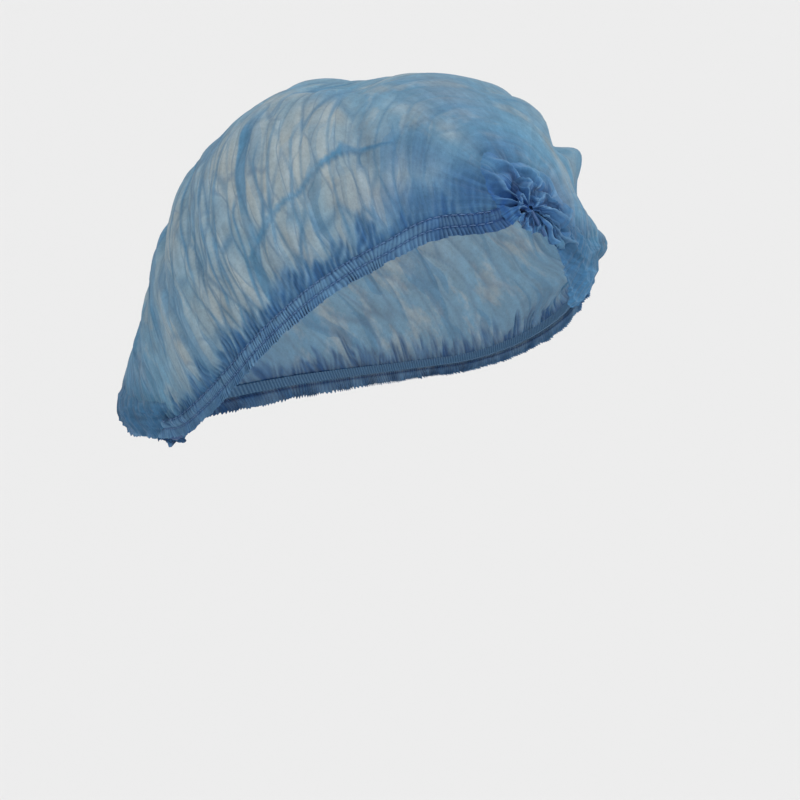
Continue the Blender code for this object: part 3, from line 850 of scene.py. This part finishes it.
# %% [markdown]
# ## The hems
#
# Each edge of the sheet is folded over the elastic and stitched twice. The elastic was stretched while it
# was sewn, so when it lets go it draws the folded cloth into hundreds of small pleats. Between the two rows
# of stitches they swell into a soft channel, and below the lower row the margin stands free as a frill.

# %% Hems
HEM_ALONG = 2200
HEM_ACROSS = 27
MICRO_PITCH = 1.3
FRILL_DEPTH = 0.7
CHANNEL_SWELL = 0.55
HEM_MARGIN = HEM_WIDTH - HEM_CHANNEL_WIDTH
HEM_SIDES = ("right", "left")
STITCH_ROWS = (HEM_MARGIN, HEM_WIDTH - 0.5)
STITCH_LINE = 0.5
DARK_NEAR_KNOT = 18.0


def hem_pleats(along, width, number):
    """The wave of the small pleats from -1 to 1, and their size."""
    x = along * MM_ALONG
    turn = x / MICRO_PITCH + 1.6 * noise(x / 8.0, width / 9.0 + 5.0 * number, 71)
    return np.sin(2.0 * math.pi * turn), 0.8 + 0.5 * noise(x / 3.1, number, 72)


def on_crown(side, along, width):
    """Lift that brings the upper part of a hem up to the crown."""
    crown_lift, _ = crown_cloth(along, hem_angle(side, HEM_WIDTH, along))
    return (crown_lift + 0.1) * step_up(width, HEM_MARGIN - 1.0, HEM_WIDTH)


def build_hem(side, number):
    """The folded and stitched edge of the sheet on one side."""
    along = spread(HEM_ALONG, FIRST_STATION, LAST_STATION)
    width = np.linspace(0.0, HEM_WIDTH, HEM_ACROSS)[None, :]
    x = along * MM_ALONG
    pleat, size = hem_pleats(along, width, number)
    frill = 1.0 - step_up(width, 0.0, HEM_MARGIN)
    ends = np.minimum(from_knots(along) / 12.0, 1.0)
    ragged = 0.3 * noise(x / 1.1, number, 73) + 0.3 * noise(x / 6.0, number, 75)
    ragged = (ragged + 0.22 * pleat * size) * frill * ends
    in_channel = np.clip((width - HEM_MARGIN) / (HEM_CHANNEL_WIDTH - 0.5), 0.0, 1.0)
    swell = np.sin(math.pi * in_channel) ** 0.7
    lift = CHANNEL_SWELL * swell + FRILL_DEPTH * pleat * size * (0.3 + 0.7 * frill) * ends
    lift = lift + 0.3 * frill + 0.6 * frill * noise(x / 6.0, number, 74) * ends
    lift = lift + on_crown(side, along, width)
    points = cloth_points(along, hem_angle(side, width - ragged, along), lift)
    stitched = sum(bell(width - row, STITCH_LINE) for row in STITCH_ROWS)
    # light is a painted highlight on the crests of the small pleats. The crease mark paints shade in their
    # troughs, and it also darkens the stitch rows and the hem near the knots.
    light = np.clip(pleat, 0.0, 1.0) * size * (0.3 + 0.4 * frill + 0.4 * swell)
    near = bell(from_knots(along), DARK_NEAR_KNOT)
    marks = {"gathered": 0.46 + 0.05 * frill + 0.35 * noise(x / 3.0, width / 4.0, 76) + 0.6 * near,
             "ridge_and_highlight": 0.5 * light * (1.0 - 0.6 * near),
             "crease": 0.4 * np.clip(-pleat, 0.0, 1.0) * size + 0.6 * stitched + 0.55 * near}
    hem = make_sheet("hem_cloth_" + side, points, marks, gathered_cloth, (x, width))
    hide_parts("hem_" + side)
    return hem


hems = [build_hem(side, number) for number, side in enumerate(HEM_SIDES)]
print("hem faces:", [len(hem.data.polygons) for hem in hems])

# %% [markdown]
# ## Elastic and stitches
#
# The elastic is a flat tape of rubber strands wrapped in fine yarn, and it keeps the solid's shape. The
# yarn lies across it in fine ribs, so a wave along its length, made uneven with noise, shades it. The
# stitches are short runs of thread that dip into the cloth between them, laid by a loop along each row.

# %% Elastic
ELASTIC_RIB = 1.1
ELASTIC_STRAND = 0.6


def give_finish(names, material):
    """Puts one material on solids that keep their shape."""
    for name in names:
        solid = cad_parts[name].data
        solid.materials.clear()
        solid.materials.append(material)


elastic_material, add = new_material("covered rubber elastic")
space = add("TexCoord", result="Object")
run = add("VectorMath", (space, tuple(TO_BACK)), "Value", operation="DOT_PRODUCT")
run = add("Math", (run, 2.0 * math.pi / (ELASTIC_RIB * MM)), operation="MULTIPLY")
yarn = add("TexNoise", {"Vector": space, "Scale": 1.0 / (ELASTIC_STRAND * MM), "Detail": 3.0})
rib = add("Math", (add("Math", (yarn, 2.0, run), operation="MULTIPLY_ADD"),), operation="SINE")
height = add("Math", (yarn, 0.8, rib), operation="MULTIPLY_ADD")
bump = add("Bump", {"Strength": 0.7, "Distance": 0.2 * MM, "Height": height})
two_tone(add, add("MapRange", (rib, -1.0, 1.0, 0.15, 0.75)), "3b6186", "7199bb",
         {"Roughness": 0.75, "Normal": bump})
give_finish(["elastic_" + side for side in HEM_SIDES], elastic_material)

# %% Stitches
STITCH_PITCH = 2.6
STITCH_SHARE = 0.72
STITCH_RADIUS = 0.17
STITCH_SIDES = 5
STITCH_STEPS = 5
STITCH_RISE = 0.42
STITCH_DIP = 0.12
FREE_OF_STITCHES = 4.0

thread_material, add = new_material("polyester sewing thread")
twist = add("TexNoise", {"Vector": add("TexCoord", result="Object"), "Scale": 2.0 / MM, "Detail": 1.0})
two_tone(add, twist, "33588a", "6a90bb", {"Roughness": 0.55})


def build_stitches(side, number):
    """Two rows of short thread runs, each a thin tube that dips into the cloth at both ends."""
    # The faces of one run: those round the tube, and then its two ends
    tube = np.arange(STITCH_STEPS * STITCH_SIDES).reshape(STITCH_STEPS, STITCH_SIDES)
    beside = np.roll(tube, -1, axis=1)
    one_run = np.stack([tube[:-1], beside[:-1], beside[1:], tube[1:]], axis=-1).reshape(-1, 4).tolist()
    one_run += [tube[0][::-1].tolist(), tube[-1].tolist()]
    turn = np.linspace(0.0, 2.0 * math.pi, STITCH_SIDES, endpoint=False)[:, None]
    run = np.linspace(0.0, 1.0, STITCH_STEPS)
    length = STITCH_SHARE * STITCH_PITCH / MM_ALONG
    first = FIRST_STATION + FREE_OF_STITCHES
    last = LAST_STATION - FREE_OF_STITCHES
    count = int((last - first) * MM_ALONG / STITCH_PITCH)
    along = (spread(count, first, last) + length * run).reshape(-1, 1)
    dip = np.tile(STITCH_RISE * np.sin(math.pi * run) - STITCH_DIP, count)[:, None]
    rings = []
    for row in STITCH_ROWS:
        pleat, size = hem_pleats(along, row, number)
        angle = hem_angle(side, row, along)
        lift = dip + 0.12 * FRILL_DEPTH * pleat * size + 0.25 + on_crown(side, along, row)
        centre = cloth_points(along, angle, lift).reshape(count, STITCH_STEPS, 3)
        out = direction(along, angle).reshape(count, STITCH_STEPS, 3)
        forward = np.gradient(centre, axis=1)
        forward /= np.linalg.norm(forward, axis=2)[..., None]
        sideways = np.cross(forward, out)[:, :, None]
        ring = np.cos(turn) * sideways + np.sin(turn) * out[:, :, None]
        rings.append(centre[:, :, None] + STITCH_RADIUS * ring)
    faces = [[start + corner for corner in face]
             for start in range(0, len(STITCH_ROWS) * count * tube.size, tube.size) for face in one_run]
    mesh = bpy.data.meshes.new("stitches_" + side)
    mesh.from_pydata((np.reshape(rings, (-1, 3)) * MM).tolist(), [], faces)
    mesh.shade_smooth()
    mesh.materials.append(thread_material)
    stitches = put_in_scene("stitches_" + side, mesh)
    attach(stitches, "root")
    return stitches


stitches = [build_stitches(side, number) for number, side in enumerate(HEM_SIDES)]
print("stitch faces:", [len(row.data.polygons) for row in stitches])

# %% [markdown]
# ## The bunched ends
#
# At each end the pleated strip is fused and cut, and the pleats beyond the weld spring open like a
# rosette. It is drawn as a fan of folds about the knot, with a table of how far it reaches at each angle.
# The folds are sharp along their tops and bend as they go out. A painted highlight lies along their tops,
# where they catch the light, and painted shade darkens the pockets between them. The strip is folded many
# times, so three fans lie one over the other at the front and two at the back. The widest one sinks into the
# crown at its rim and takes on its colour there.

# %% Rosettes
# Each outline gives places around the knot and how far the fan reaches there, in millimetres
FRONT_FAN = ((-25, 9), (25, 14), (60, 21), (90, 23), (125, 20), (165, 24), (205, 29), (225, 26), (238, 12))
FRONT_BASE = ((200, 12), (222, 15), (240, 16), (256, 12), (275, 9), (310, 9), (345, 9))
BACK_FAN = ((-30, 9), (30, 11), (90, 11), (150, 11), (210, 9))
BACK_BASE = ((200, 8.5), (235, 8), (270, 7.5), (305, 8), (340, 8.5))
FAN_SHAPE_COLUMNS = ("name", "end", "outline", "folds", "inner_lift", "rim_lift", "depth", "size", "merges",
                     "seed")
FANS = (
    ("front_rosette_cloth", "front", FRONT_FAN, 8, 3.0, 0.5, 4.6, 1.15, 1, 81),
    ("front_rosette_inner", "front", FRONT_FAN, 5, 3.4, 4.4, 3.4, 0.5, 0, 84),
    ("front_rosette_base", "front", FRONT_BASE, 6, 3.0, 1.6, 2.4, 1.0, 0, 90),
    ("back_rosette_cloth", "back", BACK_FAN, 8, 3.0, 0.5, 3.4, 1.1, 1, 87),
    ("back_rosette_base", "back", BACK_BASE, 5, 3.0, 1.6, 2.0, 1.0, 0, 93),
)
FAN_INNER_REACH = 1.0
FAN_SINK = 1.2
FAN_AROUND = 400
FAN_OUT = 64
BUCKLE = 1.8
BUCKLE_LENGTH = 7.0
BUCKLE_PITCH = 1.6
KNOT_REGION = 26.0
KNOT_REGION_STEPS = 105
FIRST_COLUMN = -60
LAST_COLUMN = 350


def crown_near_knot(end, from_knot, around):
    """Distance of the crown from the middle of the cap, and how gathered it is, read from a grid of it."""
    rows = spread(KNOT_REGION_STEPS, 0.0, KNOT_REGION)
    columns = np.arange(FIRST_COLUMN, LAST_COLUMN + 1.0)[None, :] + 0.0 * rows
    along = rows if end == "front" else 180.0 - rows
    lift, marks = crown_cloth(along, columns)
    reach = head_distance(direction(along, columns)) + stand_off(along, columns) + lift
    r = np.clip(from_knot / KNOT_REGION, 0.0, 0.999) * (KNOT_REGION_STEPS - 1)
    c = np.clip(around - FIRST_COLUMN, 0.0, LAST_COLUMN - FIRST_COLUMN - 0.001)
    i = r.astype(int)
    j = c.astype(int)

    def between(grid):
        near = grid[i, j] * (1.0 - c + j) + grid[i, j + 1] * (c - j)
        far = grid[i + 1, j] * (1.0 - c + j) + grid[i + 1, j + 1] * (c - j)
        return near * (1.0 - r + i) + far * (r - i)

    return between(reach), between(marks["gathered"])


def build_fan(fan):
    """A fan of crumpled folds about one knot."""
    places, reaches = zip(*fan["outline"])
    around = spread(FAN_AROUND, places[0], places[-1])
    out = np.linspace(0.0, 1.0, FAN_OUT)[None, :]
    reach = through(places, reaches, around) * fan["size"]
    seed = fan["seed"]
    merges = fan["merges"]
    turn = fan["folds"] * (around - places[0]) / (places[-1] - places[0])
    turn = turn + 0.8 * noise(turn * 0.9, out * 2.4, seed)
    turn = turn + 0.2 * noise(turn * 2.1, out * 5.0, seed + 4)
    ridge_and_highlight = 1.0 - 2.0 * np.abs(turn % 1.0 - 0.5)
    size = 0.75 + 0.5 * noise(np.floor(turn), 0.0, seed + 1)
    rim = reach * (0.96 + 0.1 * noise(turn * 1.4, 0.0, seed + 2))
    distance = FAN_INNER_REACH + (rim - FAN_INNER_REACH) * out
    fade = 1.0 - (0.35 + 0.65 * merges) * out**2.2
    rise = np.minimum(out * 2.0, 1.0) * fade
    lift = fan["inner_lift"] + (fan["rim_lift"] - fan["inner_lift"]) * (1.0 - (1.0 - out) ** 1.3)
    lift = lift - merges * FAN_SINK * step_up(out, 0.75, 1.0)
    lift = lift + fan["depth"] * rise * (ridge_and_highlight**1.8 * 1.2 - 0.2) * size
    from_knot = distance / MM_AT_KNOT
    base, crown_gathered = crown_near_knot(fan["end"], from_knot, around)
    ray = direction(from_knot if fan["end"] == "front" else 180.0 - from_knot, around)
    u = turn * BUCKLE_PITCH
    v = distance / BUCKLE_LENGTH
    buckle = np.stack([noise(u, v, seed + k) + 0.35 * noise(2.2 * u, 2.6 * v, seed + k + 3)
                       for k in (5, 6, 7)], axis=-1)
    points = CAP_CENTRE + (base + lift)[..., None] * ray + buckle * (BUCKLE * rise)[..., None]
    blend = merges * step_up(out, 0.4, 0.85)
    # Painted shade: shaded keeps the gathered and crease marks strongest on the side of the fan towards the
    # wearer's right, below 35 degrees around. The pockets between the folds get painted shade and the fold
    # tops a painted highlight.
    shaded = 1.0 - 0.25 * step_up(around, 35.0, 85.0)
    pocket_shade = step_up(out, 0.0, 0.1) * (1.0 - step_up(ridge_and_highlight, 0.0, 0.75)) * (1.0 - blend)
    own = shaded * (1.0 - 0.35 * out**1.5)
    marks = {"gathered": own * (1.0 - blend) + crown_gathered * blend, "crease": 0.9 * shaded * pocket_shade,
             "ridge_and_highlight": 0.6 * step_up(ridge_and_highlight, 0.8, 0.97) * np.minimum(out * 4.0, 1.0) * fade}
    return make_sheet(fan["name"], points, marks, bunched_cloth, (around * 0.3, distance))


fans = {row["name"]: build_fan(row) for row in named_rows(FAN_SHAPE_COLUMNS, FANS)}
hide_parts("front_rosette")
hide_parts("back_rosette")
print("fan faces:", [len(fan.data.polygons) for fan in fans.values()])

# %% [markdown]
# ## Slack cloth over the hems
#
# The cap sits turned on the head. On the left its slack folds hang over the hem from the front knot down to
# the temple, and on the right they cover the hem at the nape. Each flap leaves the crown above the hem, runs
# over it and ends in a free edge. A table gives how far that edge hangs below the hem, and soft folds run
# along it from the knot.

# %% Overhangs
# Places along the hem, and how many millimetres the free edge hangs below it there
TEMPLE_DROPS = ((4.5, 0), (6, 0), (9, 1), (13, 8), (16, 13), (19, 20), (23, 11), (28, 4), (36, -3), (44, -8))
NAPE_DROPS = ((108, -8), (116, -5), (122, -2), (128, 0), (136, 0), (146, -1), (156, -1), (166, 0), (176, 1))
OVERHANG_COLUMNS = ("name", "side", "knot", "drops", "lift", "tuck", "layers", "seed")
OVERHANGS = (
    ("left_temple_folds", "left", 0, TEMPLE_DROPS, 2.3, 3.4, 0.08, 97),
    ("right_nape_folds", "right", 180, NAPE_DROPS, 1.7, 1.9, 0.34, 107),
)
OVERHANG_TOP = 17.0
OVERHANG_ALONG = 260
OVERHANG_ACROSS = 90
OVERHANG_EMERGES = 0.8
OVERHANG_FOLD = 1.8
OVERHANG_FOLD_REACH = 30.0


def build_overhang(flap):
    """Slack cloth that hangs over a hem beside a knot."""
    places, drops = zip(*flap["drops"])
    along = spread(OVERHANG_ALONG, places[0], places[-1])
    x = along * MM_ALONG
    seed = flap["seed"]
    share = np.linspace(0.0, 1.0, OVERHANG_ACROSS)[None, :]
    edge = -through(places, drops, along) - 0.7 * noise(x / 4.0, 0.0, seed)
    width = edge + (OVERHANG_TOP - edge) * share
    angle = hem_angle(flap["side"], width, along)
    crown_lift, crown_marks = crown_cloth(along, angle)
    risen = 1.0 - step_up(share, 0.6, 1.0)
    from_knot = np.abs(along - flap["knot"])
    low_end = 1.0 - 0.65 * step_up(from_knot, 0.8 * from_knot.max(), from_knot.max())
    turn = 4.0 * share + 0.9 * noise(x / 26.0, 3.0 * share, seed + 1)
    turn = turn + 0.3 * noise(x / 9.0, 6.0 * share, seed + 2)
    ridge_and_highlight = 1.0 - 2.0 * np.abs(turn % 1.0 - 0.5)
    fold = bell(from_knot, OVERHANG_FOLD_REACH) * step_up(from_knot, 5.0, 18.0) * risen
    lift = crown_lift - OVERHANG_EMERGES + (flap["lift"] + OVERHANG_EMERGES) * risen * low_end
    lift = lift + OVERHANG_FOLD * (ridge_and_highlight**1.6 - 0.3) * fold - flap["tuck"] * (1.0 - step_up(share, 0.0, 0.4))
    near = bell(from_knot, 15.0)
    # The gathered mark is painted darker in the fold valleys and lighter on the fold tops, as painted shade
    # and highlight. The crease mark paints shade in the valleys near the knot, and the ridge mark paints a
    # highlight on the tops.
    own = 0.7 * near + flap["layers"] + 0.14 * (1.0 - step_up(share, 0.15, 0.75))
    own = np.clip(own, 0.0, 1.0) * (1.05 - 0.25 * ridge_and_highlight)
    marks = {"gathered": own * risen + crown_marks["gathered"] * (1.0 - risen), "fanned": 1.0,
             "double": 0.8 * risen, "ridge_and_highlight": 0.5 * step_up(ridge_and_highlight, 0.86, 0.98) * fold,
             "crease": 0.4 * (1.0 - step_up(ridge_and_highlight, 0.0, 0.5)) * fold * near}
    points = cloth_points(along, angle, lift)
    return make_sheet(flap["name"], points, marks, cap_cloth, (x, width), (width, x))


overhangs = [build_overhang(row) for row in named_rows(OVERHANG_COLUMNS, OVERHANGS)]
print("overhang faces:", [len(flap.data.polygons) for flap in overhangs])

# %% [markdown]
# ## Welds and tail
#
# The weld is the cloth itself, melted through all its layers into a small hard lens, so it keeps the
# solid's shape and gets a denser, smoother finish. The tail is a sliver of the same, left by the cutter.

# %% Fused cloth
fused_material, add = new_material("fused polypropylene")
pressed = add("TexNoise", {"Vector": add("TexCoord", result="Object"), "Scale": 0.7 / MM, "Detail": 3.0})
bump = add("Bump", {"Strength": 0.6, "Distance": 0.3 * MM, "Height": pressed})
two_tone(add, pressed, "213f6b", "41699c", {"Roughness": 0.5, "IOR": POLYPROPYLENE_IOR, "Normal": bump})
give_finish(("front_weld", "back_weld", "front_tail"), fused_material)
